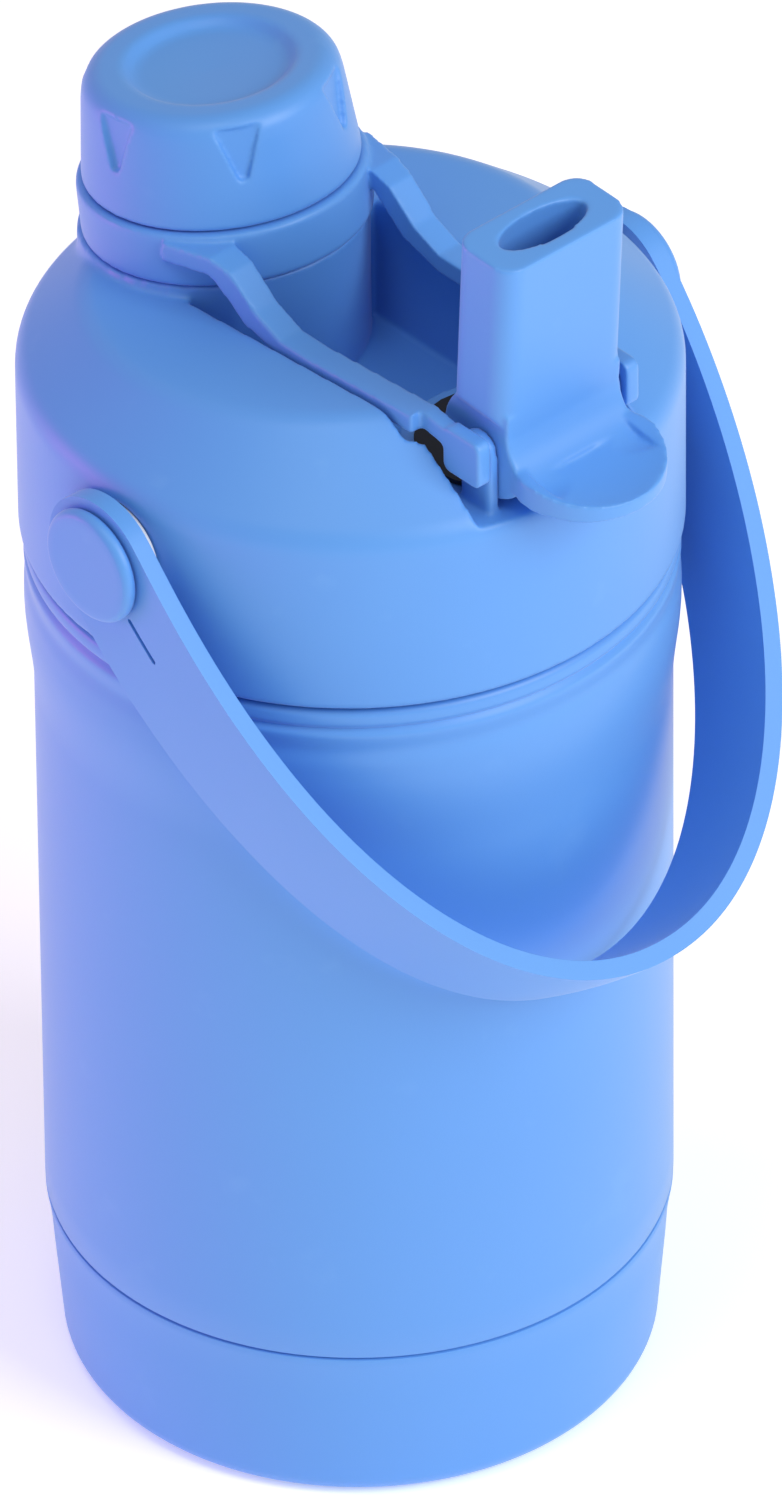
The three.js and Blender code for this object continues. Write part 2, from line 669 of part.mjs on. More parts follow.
// The angle below level at which the loop hangs just clear of the bottle.
function hangAngle() {
  const level = HANDLE_REACH - HANDLE_T;
  const upright = HANDLE_W / 2;
  const space = BODY_R + HANDLE_HANG + HANDLE_Y;
  const angle = Math.acos(space / Math.hypot(level, upright)) - Math.atan2(upright, level);
  return THREE.MathUtils.radToDeg(angle);
}

// The loop is built level, reaching back, then turned forward and down onto its pivots.
function handle() {
  return handleLoop().rotate([180 + hangAngle(), 0, 0]).translate([0, HANDLE_Y, HANDLE_Z]);
}

const WASHER_T = HANDLE_IN - WASHER_SEAT - 2 * GAP;
const BUTTON_IN = HANDLE_IN + HANDLE_T + GAP;

// One side's pivot pin, from a pocket in the lid wall out to the button.
function handlePivot(side) {
  const pin = barX(HANDLE_PIN_R, HANDLE_Y, HANDLE_Z, PIVOT_IN + GAP, BUTTON_IN - GAP);
  return side < 0 ? pin.mirror([1, 0, 0]) : pin;
}

function handleWasher(side) {
  const washer = ring(HANDLE_PIN_R + GAP, WASHER_R, 0, WASHER_T)
    .rotate([0, 90, 0])
    .translate([WASHER_SEAT + GAP, HANDLE_Y, HANDLE_Z]);
  return side < 0 ? washer.mirror([1, 0, 0]) : washer;
}

function handleButton(side) {
  const round = 1.6;
  const button = revolve([
    [0, 0],
    [BUTTON_R - 0.4, 0],
    [BUTTON_R, 0.5],
    ...arc(BUTTON_R - round, BUTTON_T - round, round, 0, 90, 3),
    [0, BUTTON_T],
  ], FINE)
    .rotate([0, 90, 0])
    .translate([BUTTON_IN, HANDLE_Y, HANDLE_Z]);
  return side < 0 ? button.mirror([1, 0, 0]) : button;
}

// ---- assembly ------------------------------------------------------------------------
const bottle = new THREE.Group();
const lid = new THREE.Group();
group.add(bottle, lid);

addNode(bottle, "outer_shell", outerShell(), BLUE, 0.5);
addNode(bottle, "inner_vessel", innerVessel(), STEEL_GREY, 0.3, 1);
addNode(bottle, "base_boot", baseBoot(), BLUE, 0.5);
addNode(bottle, "vacuum_plug", vacuumPlug(), STEEL_GREY, 0.4, 1);

addNode(lid, "lid_shell", lidShell(), BLUE, 0.6);
addNode(lid, "lid_liner", lidLiner(), CLEAR_WHITE, 0.5);
addNode(lid, "lid_gasket", lidGasket(), CLEAR_WHITE, 0.8);
addNode(lid, "vent_valve", ventValve(), CLEAR_WHITE, 0.8);
addNode(lid, "chug_spout", chugSpout(), BLUE, 0.6);
addNode(lid, "chug_cap", chugCap(), BLUE, 0.6);
addNode(lid, "cap_insert", capInsert(), CLEAR_WHITE, 0.5);
addNode(lid, "cap_gasket", capGasket(), CLEAR_WHITE, 0.8);
addNode(lid, "cap_carrier", capCarrier(), BLUE, 0.6);
addNode(lid, "straw_spout", strawSpout(), BLUE, 0.6);
addNode(lid, "spout_seal", spoutSeal(), BLACK, 0.7);
addNode(lid, "straw_nipple", strawNipple(), CLEAR_WHITE, 0.6);
addNode(lid, "straw_tube", strawTube(), CLEAR_WHITE, 0.3);
addNode(lid, "handle", handle(), DEEP_BLUE, 0.6);

for (const [label, side] of [["left", -1], ["right", 1]]) {
  addNode(lid, `spout_pin_${label}`, spoutPin(side), STEEL_GREY, 0.3, 1);
  addNode(lid, `handle_pivot_${label}`, handlePivot(side), BLUE, 0.6);
  addNode(lid, `handle_washer_${label}`, handleWasher(side), CLEAR_WHITE, 0.6);
  addNode(lid, `handle_button_${label}`, handleButton(side), BLUE, 0.6);
}

export default group;
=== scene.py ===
import math

import bpy
from mathutils import Matrix, Vector


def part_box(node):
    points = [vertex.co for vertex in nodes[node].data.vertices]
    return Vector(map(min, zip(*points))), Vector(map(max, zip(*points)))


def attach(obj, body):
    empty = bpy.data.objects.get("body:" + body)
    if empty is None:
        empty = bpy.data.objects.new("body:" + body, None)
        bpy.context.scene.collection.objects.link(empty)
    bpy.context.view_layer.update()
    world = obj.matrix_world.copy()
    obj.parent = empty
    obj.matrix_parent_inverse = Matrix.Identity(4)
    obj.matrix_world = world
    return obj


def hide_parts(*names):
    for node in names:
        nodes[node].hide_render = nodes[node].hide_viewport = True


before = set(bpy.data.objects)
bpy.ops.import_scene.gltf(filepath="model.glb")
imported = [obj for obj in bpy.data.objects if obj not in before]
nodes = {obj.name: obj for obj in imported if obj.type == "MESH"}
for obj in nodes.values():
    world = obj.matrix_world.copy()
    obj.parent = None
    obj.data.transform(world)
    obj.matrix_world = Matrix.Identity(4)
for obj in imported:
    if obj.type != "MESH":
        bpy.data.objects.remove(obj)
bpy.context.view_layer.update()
MM = 0.001

# ---- Studio ---------------------------------------------------------------------------
# A white sweep that glows a little, a large soft lamp in front, another overhead, a small
# violet one low behind the left side, and a long lens looking down at the front left.
view = bpy.data.cameras.new("studio_camera")
view.lens = 527.3
view.clip_end = 60
camera = bpy.data.objects.new("studio_camera", view)
camera.location = (-2.27175, -2.52318, 2.73419)
camera.rotation_euler = [math.radians(a) for a in (52.610, 0.4535, -42.464)]
bpy.context.collection.objects.link(camera)
bpy.context.scene.camera = camera
bpy.context.scene.view_settings.view_transform = "Standard"


def lamp(name, azimuth, elevation, distance, size, power, colour):
    """A square soft lamp aimed at the middle of the jug."""
    data = bpy.data.lights.new(name, "AREA")
    data.size, data.energy, data.color = size, power, colour
    turn, rise = math.radians(azimuth), math.radians(elevation)
    towards = Vector((math.sin(turn) * math.cos(rise), -math.cos(turn) * math.cos(rise), math.sin(rise)))
    holder = bpy.data.objects.new(name, data)
    holder.location = Vector((0, 0, 0.15)) + towards * distance
    holder.rotation_euler = towards.to_track_quat("Z", "Y").to_euler()
    bpy.context.collection.objects.link(holder)


lamp("key_lamp", 12, 36, 1.8, 0.9, 19, (1.0, 0.99, 0.97))
lamp("top_lamp", -60, 70, 2.0, 0.7, 6, (1.0, 0.99, 0.97))
lamp("violet_lamp", -136, 5, 0.9, 0.35, 2.4, (1.0, 0.06, 0.8))

sky = bpy.data.worlds.new("pale_room")
bpy.context.scene.world = sky
sky.use_nodes = True
sky.node_tree.nodes["Background"].inputs["Color"].default_value = (1, 1, 1, 1)
sky.node_tree.nodes["Background"].inputs["Strength"].default_value = 0.45

bpy.ops.mesh.primitive_plane_add(size=30)
floor = bpy.context.object
floor.name = "floor"
paper = bpy.data.materials.new("floor")
paper.use_nodes = True
for socket, value in {
    "Base Color": (0.97, 0.97, 0.98, 1), "Roughness": 0.9,
    "Emission Color": (1, 1, 1, 1), "Emission Strength": 0.3,
}.items():
    paper.node_tree.nodes["Principled BSDF"].inputs[socket].default_value = value
floor.data.materials.append(paper)


# ---- Outer shell ----------------------------------------------------------------------
# The bottle's outer wall: stainless steel, spun to shape and powder coated. A rolled
# groove and a soft bead stiffen it under the lid, and a plain neck stands up inside it.
class Wire:
    """A value in a material that Python arithmetic can be done on."""

    def __init__(self, paint, socket):
        self.paint, self.socket = paint, socket

    def math(self, operation, first, second):
        return self.paint.node("Math", {"operation": operation}, first, second)

    def __add__(self, other):
        return self.math("ADD", self, other)

    def __mul__(self, other):
        return self.math("MULTIPLY", self, other)

    __radd__ = __add__
    __rmul__ = __mul__


class Paint:
    """A material whose nodes are added one call at a time."""

    def __init__(self, name, **constants):
        self.material = bpy.data.materials.new(name)
        self.material.use_nodes = True
        self.tree = self.material.node_tree
        self.shader = self.tree.nodes["Principled BSDF"]
        for socket, value in constants.items():
            self.shader.inputs[socket.replace("_", " ")].default_value = value
        self.place = self.node("TexCoord", {}, out="Object")

    def node(self, kind, settings, *values, out=0, **named):
        made = self.tree.nodes.new("ShaderNode" + kind)
        for key, value in settings.items():
            if key == "stops":
                ramp = made.color_ramp
                for spare in list(ramp.elements)[1:]:
                    ramp.elements.remove(spare)
                ramp.elements[0].position, ramp.elements[0].color = value[0]
                for at, colour in value[1:]:
                    ramp.elements.new(at).color = colour
            else:
                setattr(made, key, value)
        for socket, value in [*enumerate(values), *named.items()]:
            key = socket.replace("_", " ") if isinstance(socket, str) else socket
            self.link(value, made.inputs[key])
        return Wire(self, made.outputs[out])

    def link(self, value, socket):
        if isinstance(value, Wire):
            self.tree.links.new(value.socket, socket)
        else:
            socket.default_value = value

    def noise(self, scale, detail=2.0, stretch=(1, 1, 1)):
        spot = self.node("Mapping", {}, self.place, Scale=stretch)
        return self.node("TexNoise", {}, Vector=spot, Scale=scale, Detail=detail)

    def mix(self, share, first, second):
        """A blend of two colours."""
        settings = {"data_type": "RGBA"}
        made = self.node("Mix", settings, out=2)
        mixer = made.socket.node
        self.link(share, mixer.inputs[0])
        self.link(first, mixer.inputs[6])
        self.link(second, mixer.inputs[7])
        return made

    def bump(self, height, strength, depth):
        normal = self.node("Bump", {}, Strength=strength, Distance=depth, Height=height)
        self.link(normal, self.shader.inputs["Normal"])

    def set(self, **values):
        for socket, value in values.items():
            self.link(value, self.shader.inputs[socket.replace("_", " ")])
        return self


def rgb(red, green, blue):
    """A colour given as sRGB shares, as the shader's linear colour."""
    return [*(((c + 0.055) / 1.055) ** 2.4 for c in (red, green, blue)), 1]


BLUE = rgb(0.36, 0.61, 0.90)
BLUE_DEEP = rgb(0.34, 0.59, 0.89)
BLUE_PALE = rgb(0.44, 0.67, 0.92)


def powder_coat():
    """Fine orange-peel powder coat, a little paler where hands and shelves have rubbed it."""
    paint = Paint(
        "powder_coat_blue", Coat_Weight=0.12, Coat_Roughness=0.3, Sheen_Weight=0.2, Sheen_Roughness=0.4,
    )
    cloud = paint.noise(14, 3)
    grain = paint.noise(2600, 2)
    peel = paint.noise(700, 1)
    rubs = paint.node("MapRange", {"clamp": True}, paint.noise(55, 6), 0.62, 0.74, 0.0, 0.25)
    base = paint.mix(cloud, BLUE_DEEP, BLUE)
    paint.set(Base_Color=paint.mix(rubs, base, BLUE_PALE), Roughness=0.42 + cloud * 0.06 + rubs * 0.1)
    paint.bump(grain * 0.7 + peel * 0.6, 0.22, 0.06 * MM)
    return paint.material


def draw(name, points):
    """A chain of edges through the points, grown from one vertex."""
    bpy.ops.object.select_all(action="DESELECT")
    bpy.ops.mesh.primitive_plane_add(size=MM)
    piece = bpy.context.object
    piece.name = piece.data.name = name
    bpy.ops.object.mode_set(mode="EDIT")
    bpy.ops.mesh.select_all(action="SELECT")
    bpy.ops.mesh.merge(type="CENTER")
    bpy.ops.transform.translate(value=points[0])
    for here, there in zip(points, points[1:]):
        step = Vector(there) - Vector(here)
        bpy.ops.mesh.extrude_vertices_move(TRANSFORM_OT_translate={"value": step})
    bpy.ops.mesh.select_all(action="SELECT")
    return piece


def close(piece):
    """Merges doubles, turns all faces outwards and leaves edit mode."""
    bpy.ops.mesh.select_all(action="SELECT")
    bpy.ops.mesh.remove_doubles(threshold=0.002 * MM)
    bpy.ops.mesh.normals_make_consistent(inside=False)
    bpy.ops.object.mode_set(mode="OBJECT")
    return piece


UP = Vector((0, 0, 1))
across_x = Vector((1, 0, 0))


def turned(name, profile, foot=(0, 0, 0), axis=UP, steps=160):
    """A piece spun about an axis. The profile is [radius, height], in millimetres."""
    axis, foot = Vector(axis), Vector(foot) * MM
    out = Vector((1, 0, 0)) if abs(axis.x) < 0.5 else Vector((0, 1, 0))
    piece = draw(name, [foot + (out * r + axis * z) * MM for r, z in profile])
    bpy.ops.mesh.spin(steps=steps, angle=math.tau, center=foot, axis=axis)
    return close(piece)


def bow(across, up, radius, start, end, steps):
    """Points on an arc, in degrees."""
    turns = [math.radians(start + (end - start) * i / steps) for i in range(steps + 1)]
    return [(across + radius * math.cos(t), up + radius * math.sin(t)) for t in turns]


def pick(piece):
    """Makes a piece the active and only selected one."""
    bpy.ops.object.select_all(action="DESELECT")
    piece.select_set(True)
    bpy.context.view_layer.objects.active = piece


def modify(piece, kind, **settings):
    """Adds a modifier and applies it."""
    pick(piece)
    bpy.ops.object.modifier_add(type=kind)
    for key, value in settings.items():
        setattr(piece.modifiers[-1], key, value)
    bpy.ops.object.modifier_apply(modifier=piece.modifiers[-1].name)
    return piece


def smooth(piece, angle=35):
    pick(piece)
    bpy.ops.object.shade_smooth_by_angle(angle=math.radians(angle))
    return piece


def fit(piece, body, slot, material, *replaced):
    """Gives a finished piece its material, its body and the frame nodes that it stands for."""
    piece.data.materials.clear()
    piece.data.materials.append(material)
    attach(piece, body)
    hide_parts(*replaced)
    return piece


def keep(node, material):
    """A frame node that is shown as it is, with a better finish."""
    for place in nodes[node].material_slots:
        place.link = "OBJECT"
        place.material = material


body_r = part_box("base_boot")[1].x / MM
seam_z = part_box("base_boot")[1].z / MM
neck_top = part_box("outer_shell")[1].z / MM
lid_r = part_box("lid_shell")[1].x / MM
lid_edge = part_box("lid_shell")[0].z / MM
boot_floor = 4.6
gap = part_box("outer_shell")[0].z / MM - boot_floor
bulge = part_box("outer_shell")[1].x / MM - body_r
neck_r = lid_r - 9.8
steel = 0.8


def bead(z):
    """How far the wall stands out at a height: a long flare, a shallow valley and a groove."""
    flare = min(1, max(0, (z - (lid_edge - 38)) / 20))
    out = bulge * flare * flare * (3 - 2 * flare)
    for dip, depth, wide in ((lid_edge - 10.8, 0.28, 2.4), (lid_edge - 5.5, 0.6, 0.8)):
        out -= depth * bulge * math.exp(-(((z - dip) / wide) ** 2))
    return out


bead_top = lid_edge - 3.4
wall_low = seam_z + 8
heights = [wall_low + 0.5 * i for i in range(int(2 * (bead_top - wall_low)) + 1)]
wall = [(body_r + bead(z), z) for z in heights if z > lid_edge - 40 or z == wall_low]
low_r = body_r - 3.6
shell = turned("bottle_shell", [
    (0, 4.9), (50, 4.9), (54, 6.1), (57, 9.6), (low_r, 14.2), (low_r, seam_z + gap),
    (body_r - 0.8, seam_z + gap), (body_r - 0.25, seam_z + gap + 0.15), (body_r, seam_z + gap + 0.7),
    *wall,
    *bow(body_r + bulge - 1.6, lid_edge - 2.6, 1.6, 10, 90, 5),
    (neck_r + 1.2, lid_edge - 1), (neck_r + 0.3, lid_edge - 0.7), (neck_r, lid_edge + 0.2),
    (neck_r, neck_top - 0.5), (neck_r - 0.25, neck_top), (neck_r - 0.6, neck_top),
    (neck_r - steel, neck_top - 0.3), (neck_r - steel, lid_edge - 1.6), (body_r - steel, lid_edge - 5.6),
    (body_r - steel, seam_z + 1.1), (low_r - steel, seam_z + 1.1), (low_r - steel, 14.3), (50, 5.7), (0, 5.7),
])
POWDER = powder_coat()
fit(smooth(shell), "bottle", "body_blue", POWDER, "outer_shell")


# ---- Base boot ------------------------------------------------------------------------
# A soft moulded cup pushed on over the foot of the bottle. It leaves a fine seam line,
# and it stands on a flat ring with a shallow panel inside it.
def soft_plastic(name, rough):
    """Moulded blue plastic with the fine spark-eroded grain of its tool."""
    paint = Paint(name, Coat_Weight=0.08, Coat_Roughness=0.4, Sheen_Weight=0.2, Sheen_Roughness=0.4)
    cloud = paint.noise(22, 3)
    flow = paint.noise(60, 4, (1, 1, 0.35))
    grain = paint.noise(3200, 2)
    base = paint.mix(cloud, BLUE_DEEP, BLUE)
    scuff = paint.node("MapRange", {"clamp": True}, paint.noise(90, 8), 0.66, 0.8, 0.0, 0.2)
    paint.set(Base_Color=paint.mix(scuff, base, BLUE_PALE), Roughness=rough + flow * 0.08)
    paint.bump(grain, 0.18, 0.05 * MM)
    return paint.material


boot = turned("boot", [
    (0, 0.5), (38, 0.5), (38.6, 0.35), (39.2, 0), (54, 0), *bow(54, 5, 5, -84, 0, 9),
    (body_r - 1.5, seam_z - 14), (body_r - 1.3, seam_z - 11), (body_r - 1.1, seam_z - 8),
    (body_r - 0.75, seam_z - 5), (body_r - 0.3, seam_z - 2), (body_r - 0.05, seam_z - 0.7),
    (body_r - 0.2, seam_z - 0.2), (body_r - 0.7, seam_z),
    (low_r + gap, seam_z), (low_r + gap, 14.2), (57.3, 9.4), (54.2, 5.8), (50, boot_floor),
    (13, boot_floor), (13, 2.2), (0, 2.2),
])
SOFT_BLUE = soft_plastic("boot_blue", 0.48)
fit(smooth(boot), "bottle", "boot_blue", SOFT_BLUE, "base_boot")


# ---- Inner vessel and vacuum plug -----------------------------------------------------
# The steel cup that holds the drink, drawn and then brushed round its axis, with a
# rolled rim. The plug seals the port that the air was pumped out through.
def brushed_steel():
    paint = Paint("brushed_steel", Metallic=1.0, Anisotropic=0.5)
    lines = paint.noise(90, 4, (1, 1, 45))
    cloud = paint.noise(20, 2)
    paint.set(
        Base_Color=paint.mix(lines, rgb(0.74, 0.75, 0.77), rgb(0.88, 0.89, 0.9)),
        Roughness=0.2 + lines * 0.16 + cloud * 0.06,
    )
    paint.bump(lines, 0.15, 0.03 * MM)
    return paint.material


mouth_r = neck_r - steel - gap
cup_low, cup_r, thin = 54.4, body_r - 4, 0.6
vessel = turned("drink_vessel", [
    (0, 11.7), (cup_low - 8, 11.7), *bow(cup_low - 8, 19.7, 8, -75, 0, 8), (cup_low, seam_z),
    (cup_low + 0.6, seam_z + 3), (cup_r - 0.6, seam_z + 6), (cup_r, seam_z + 9),
    (cup_r, lid_edge - 15.5), (cup_r - 0.8, lid_edge - 13.4),
    (mouth_r + 0.6, lid_edge - 8), (mouth_r, lid_edge - 6),
    (mouth_r, neck_top + 0.1), (mouth_r - 0.15, neck_top + 0.35), (mouth_r - 0.45, neck_top + 0.35),
    (mouth_r - thin, neck_top + 0.1), (mouth_r - thin, lid_edge - 6), (mouth_r, lid_edge - 8.4),
    (cup_r - thin - 0.8, lid_edge - 13.8), (cup_r - thin, lid_edge - 15.5), (cup_r - thin, seam_z + 9),
    (cup_r - 1.2, seam_z + 6), (cup_low, seam_z + 3.2), (cup_low - thin, seam_z),
    *bow(cup_low - 8, 19.7, 7.4, 0, -75, 8), (cup_low - 9, 12.3), (0, 12.3),
])
STEEL = brushed_steel()
fit(smooth(vessel), "bottle", "steel", STEEL, "inner_vessel")
keep("vacuum_plug", STEEL)


# ---- Lid shell ------------------------------------------------------------------------
# One moulding: an upright wall, a conical shoulder, a sloping deck, the finger well with
# its raised front sill, and the round tower that the chug spout comes out of.
def prism(name, outline, push):
    """A flat outline pushed out to a solid. Points and push are in millimetres."""
    piece = draw(name, [Vector(p) * MM for p in outline])
    bpy.ops.mesh.edge_face_add()
    bpy.ops.mesh.extrude_region_move(TRANSFORM_OT_translate={"value": Vector(push) * MM})
    return close(piece)


def plan(points, z):
    return [(x, y, z) for x, y in points]


def rod(name, radius, start, end, sides=96):
    """A round bar between two points, in millimetres."""
    start, end = Vector(start) * MM, Vector(end) * MM
    along = end - start
    turn = along.to_track_quat("Z", "Y").to_euler()
    bpy.ops.object.select_all(action="DESELECT")
    bpy.ops.mesh.primitive_cylinder_add(
        vertices=sides, radius=radius * MM, depth=along.length, location=(start + end) / 2, rotation=turn,
    )
    piece = bpy.context.object
    piece.name = name
    bpy.ops.object.transform_apply(location=True, rotation=True, scale=True)
    return piece


def slab(name, low, high):
    """A block between two corners, in millimetres."""
    low, high = Vector(low) * MM, Vector(high) * MM
    bpy.ops.object.select_all(action="DESELECT")
    bpy.ops.mesh.primitive_cube_add(size=1, location=(low + high) / 2, scale=high - low)
    piece = bpy.context.object
    piece.name = name
    bpy.ops.object.transform_apply(location=True, rotation=True, scale=True)
    return piece


def combine(piece, operation, *tools):
    """Joins tools to a piece or cuts them from it, and removes the tools."""
    for tool in tools:
        modify(piece, "BOOLEAN", operation=operation, object=tool, solver="MANIFOLD")
        bpy.data.objects.remove(tool)
    return piece


def slice_off(piece, point, normal):
    """Cuts away what lies on the side that the normal points to, and closes the cut."""
    pick(piece)
    bpy.ops.object.mode_set(mode="EDIT")
    bpy.ops.mesh.select_all(action="SELECT")
    bpy.ops.mesh.bisect(plane_co=Vector(point) * MM, plane_no=normal, use_fill=True, clear_outer=True)
    return piece


most_triangles = 180000


def mould(piece, voxel, passes=5):
    """Rounds every edge as a moulding has it: a fine even mesh, relaxed and then thinned."""
    modify(piece, "REMESH", mode="VOXEL", voxel_size=voxel * MM, use_smooth_shade=True)
    modify(piece, "SMOOTH", factor=0.5, iterations=passes)
    triangles = 2 * len(piece.data.polygons)
    if triangles > most_triangles:
        modify(piece, "DECIMATE", ratio=most_triangles / triangles)
    bpy.ops.object.shade_smooth()
    return piece


spout_lean = math.radians(7.9)
spout_axis = Vector((0, math.sin(spout_lean), math.cos(spout_lean)))
spout_foot = Vector((0, 34.7, 250.3))
spout_r = 18.5
tower_y, tower_r = 36, 28.3
deck_z, deck_fall = 251, math.radians(4.5)
deck_normal = Vector((0, math.sin(deck_fall), math.cos(deck_fall)))
shoulder_z, cone_slope = 239, 0.8
skirt_top = 218.9
skirt_r = lid_r - 3
well_z, sill_z = 222, 237
well_half, notch_half = 24.1, 21.6
pivot_y, pivot_z = -54, 250
seal_y, seal_r = -42, 16.2
handle_y, handle_z = -4.5, 223.3
ear_in, ear_t, ear_r = 15, 2.3, 4.2
pin_hole_r, pin_reach = 2.3, 19.8
seat_r, seat_in, loop_pin_r = 11.3, 63, 4.8
nipple_y, nipple_hole_r = -45, 5.9
vent_x, vent_y, vent_hole_r = 12, -12, 1.4
clear = 80


def deck_at(y):
    return deck_z - math.tan(deck_fall) * y


def lid_moulding():
    lid = turned("lid_moulding", [
        (0, skirt_top), (skirt_r, skirt_top), (skirt_r, lid_edge),
        (lid_r - 0.8, lid_edge), (lid_r - 0.2, lid_edge + 0.25),
        (lid_r, lid_edge + 0.8), (lid_r, shoulder_z - 6), *bow(lid_r - 7, shoulder_z - 5, 7, 4, 48, 6),
        (30, shoulder_z + cone_slope * (lid_r - 31)), (0, shoulder_z + cone_slope * (lid_r - 31)),
    ], steps=180)
    slice_off(lid, (0, 0, deck_z), deck_normal)
    bpy.ops.mesh.region_to_loop()
    bpy.ops.mesh.bevel(offset=2.2 * MM, segments=4)
    close(lid)
    tower = rod("tower", tower_r, (0, tower_y, 225), (0, tower_y, 290), 128)
    slice_off(tower, spout_foot - spout_axis * gap, spout_axis)
    close(tower)
    combine(lid, "UNION", tower)
    sill_back = bow(0, seal_y, seal_r + 3.4, 180, 0, 24)
    deep = prism("deep_well", plan([
        (-well_half, seal_y), *sill_back, (well_half, seal_y), (well_half, tower_y), (-well_half, tower_y),
    ], well_z), UP * clear)
    step_y = pivot_y + 9
    upper = prism("upper_well", plan([
        (-notch_half, -90), (notch_half, -90), (notch_half, step_y), (well_half, step_y + 3),
        (well_half, tower_y), (-well_half, tower_y), (-well_half, step_y + 3), (-notch_half, step_y),
    ], sill_z), UP * clear)
    combine(deep, "UNION", upper)
    combine(deep, "DIFFERENCE", rod("tower_keep", tower_r, (0, tower_y, 200), (0, tower_y, 320), 128))
    combine(lid, "DIFFERENCE", deep)
    for side in (-1, 1):
        ear_side = [
            (pivot_y - ear_r, sill_z - 1), (pivot_y + ear_r, sill_z - 1),
            *bow(pivot_y, pivot_z, ear_r, 0, 180, 16),
        ]
        ear = prism("ear", [(side * ear_in, y, z) for y, z in ear_side], (side * ear_t, 0, 0))
        combine(lid, "UNION", ear)
        seat = rod("seat", seat_r, (side * seat_in, handle_y, handle_z), (side * 70, handle_y, handle_z))
        combine(lid, "DIFFERENCE", seat)
        hole = rod("pivot_hole", loop_pin_r, (side * 51, handle_y, handle_z), (side * 66, handle_y, handle_z))
        combine(lid, "DIFFERENCE", hole)
    combine(
        lid, "DIFFERENCE",
        rod("spout_hole", spout_r + gap, spout_foot - spout_axis * 60, spout_foot + spout_axis * 30),
        rod("nipple_hole", nipple_hole_r, (0, nipple_y, 200), (0, nipple_y, 260)),
        rod("vent_hole", vent_hole_r, (vent_x, vent_y, 200), (vent_x, vent_y, 260), 32),
        rod("spout_pin_hole", pin_hole_r, (-pin_reach, pivot_y, pivot_z), (pin_reach, pivot_y, pivot_z), 32),
    )
    return mould(lid, 0.6)


SATIN = soft_plastic("satin_blue", 0.42)
lid = lid_moulding()
fit(lid, "lid", "lid_blue", SATIN, "lid_shell")


# ---- Chug spout -----------------------------------------------------------------------
# A wide drinking spout that leans back a little, with a rounded lip that stands clear
# of the tower. The cap slides over it and seals on the lip.
spout_rise = 20
spout = turned("chug_spout_tube", [
    (14, -30), (spout_r, -30), (spout_r, 3), (16.9, 18.6), (16.6, 19.5), (16, spout_rise),
    (14.8, spout_rise), (14.2, 19.6), (14, 18.8), (14, -30),
], spout_foot, spout_axis, 96)
fit(smooth(spout), "lid", "lid_blue", SATIN, "chug_spout")


# ---- Chug cap -------------------------------------------------------------------------
# A screw cap with a dished top, a soft rounded rim and six pressed V marks for grip. A
# white insert with its own gasket is snapped inside it.
ring_h, ring_bore_r = 11.2, 24
cap_z, cap_h = ring_h + gap, 22.6
cap_r, cap_top_r, dish_r = 27.15, 25.2, 14.6
cap_skirt_r, cap_bore_r = ring_bore_r - gap, 22.6
grip_marks = 6
cap_top = cap_z + cap_h
cap_round = 4.5


def cap_moulding():
    cap = turned("chug_cap_moulding", [
        (cap_bore_r, 1), (cap_skirt_r, 1), (cap_skirt_r, cap_z),
        (cap_r - 0.7, cap_z), (cap_r - 0.15, cap_z + 0.25),
        (cap_r, cap_z + 0.9), (cap_top_r + 0.25, cap_top - cap_round - 1),
        *bow(cap_top_r - cap_round, cap_top - cap_round, cap_round, 8, 90, 8),
        (dish_r + 3.2, cap_top), (dish_r + 2.2, cap_top - 0.25), (dish_r + 0.4, cap_top - 1.7),
        (dish_r - 1, cap_top - 2), (0, cap_top - 2.4), (0, 25.3), (cap_bore_r, 25.3), (cap_bore_r, 1),
    ], spout_foot, spout_axis, 128)
    for i in range(grip_marks):
        out = Matrix.Rotation(math.radians(360 / grip_marks * i), 3, spout_axis) @ across_x
        side = spout_axis.cross(out)
        corners = [(-4.6, 20.6, 3.4), (-0.9, 9.8, 2.2), (0.9, 9.8, 2.2), (4.6, 20.6, 3.4)]
        wedge = prism("grip_mark", [
            spout_foot + out * (cap_r - d) + side * s + spout_axis * (cap_z + z) for s, z, d in corners
        ], out * 6)
        combine(cap, "DIFFERENCE", wedge)
    return mould(cap, 0.45)


cap = cap_moulding()
fit(cap, "chug_cap", "lid_blue", SATIN, "chug_cap")


# ---- Cap carrier ----------------------------------------------------------------------
# A ring round the spout that keeps the cap, on two arms that lie along the well and are
# hinged on the straw spout's pins.
arm_in, arm_t, arm_h = 17.6, 5.9, 4.2
lug_half, lug_t, lug_out = 5.1, 3.3, 20.9


def rounded_plan(half, deep, corner, steps=8):
    """A rectangle with round corners."""
    points = []
    for turn, (sx, sy) in enumerate([(1, 1), (-1, 1), (-1, -1), (1, -1)]):
        points += bow(sx * (half - corner), sy * (deep - corner), corner, 90 * turn, 90 * turn + 90, steps)
    return points


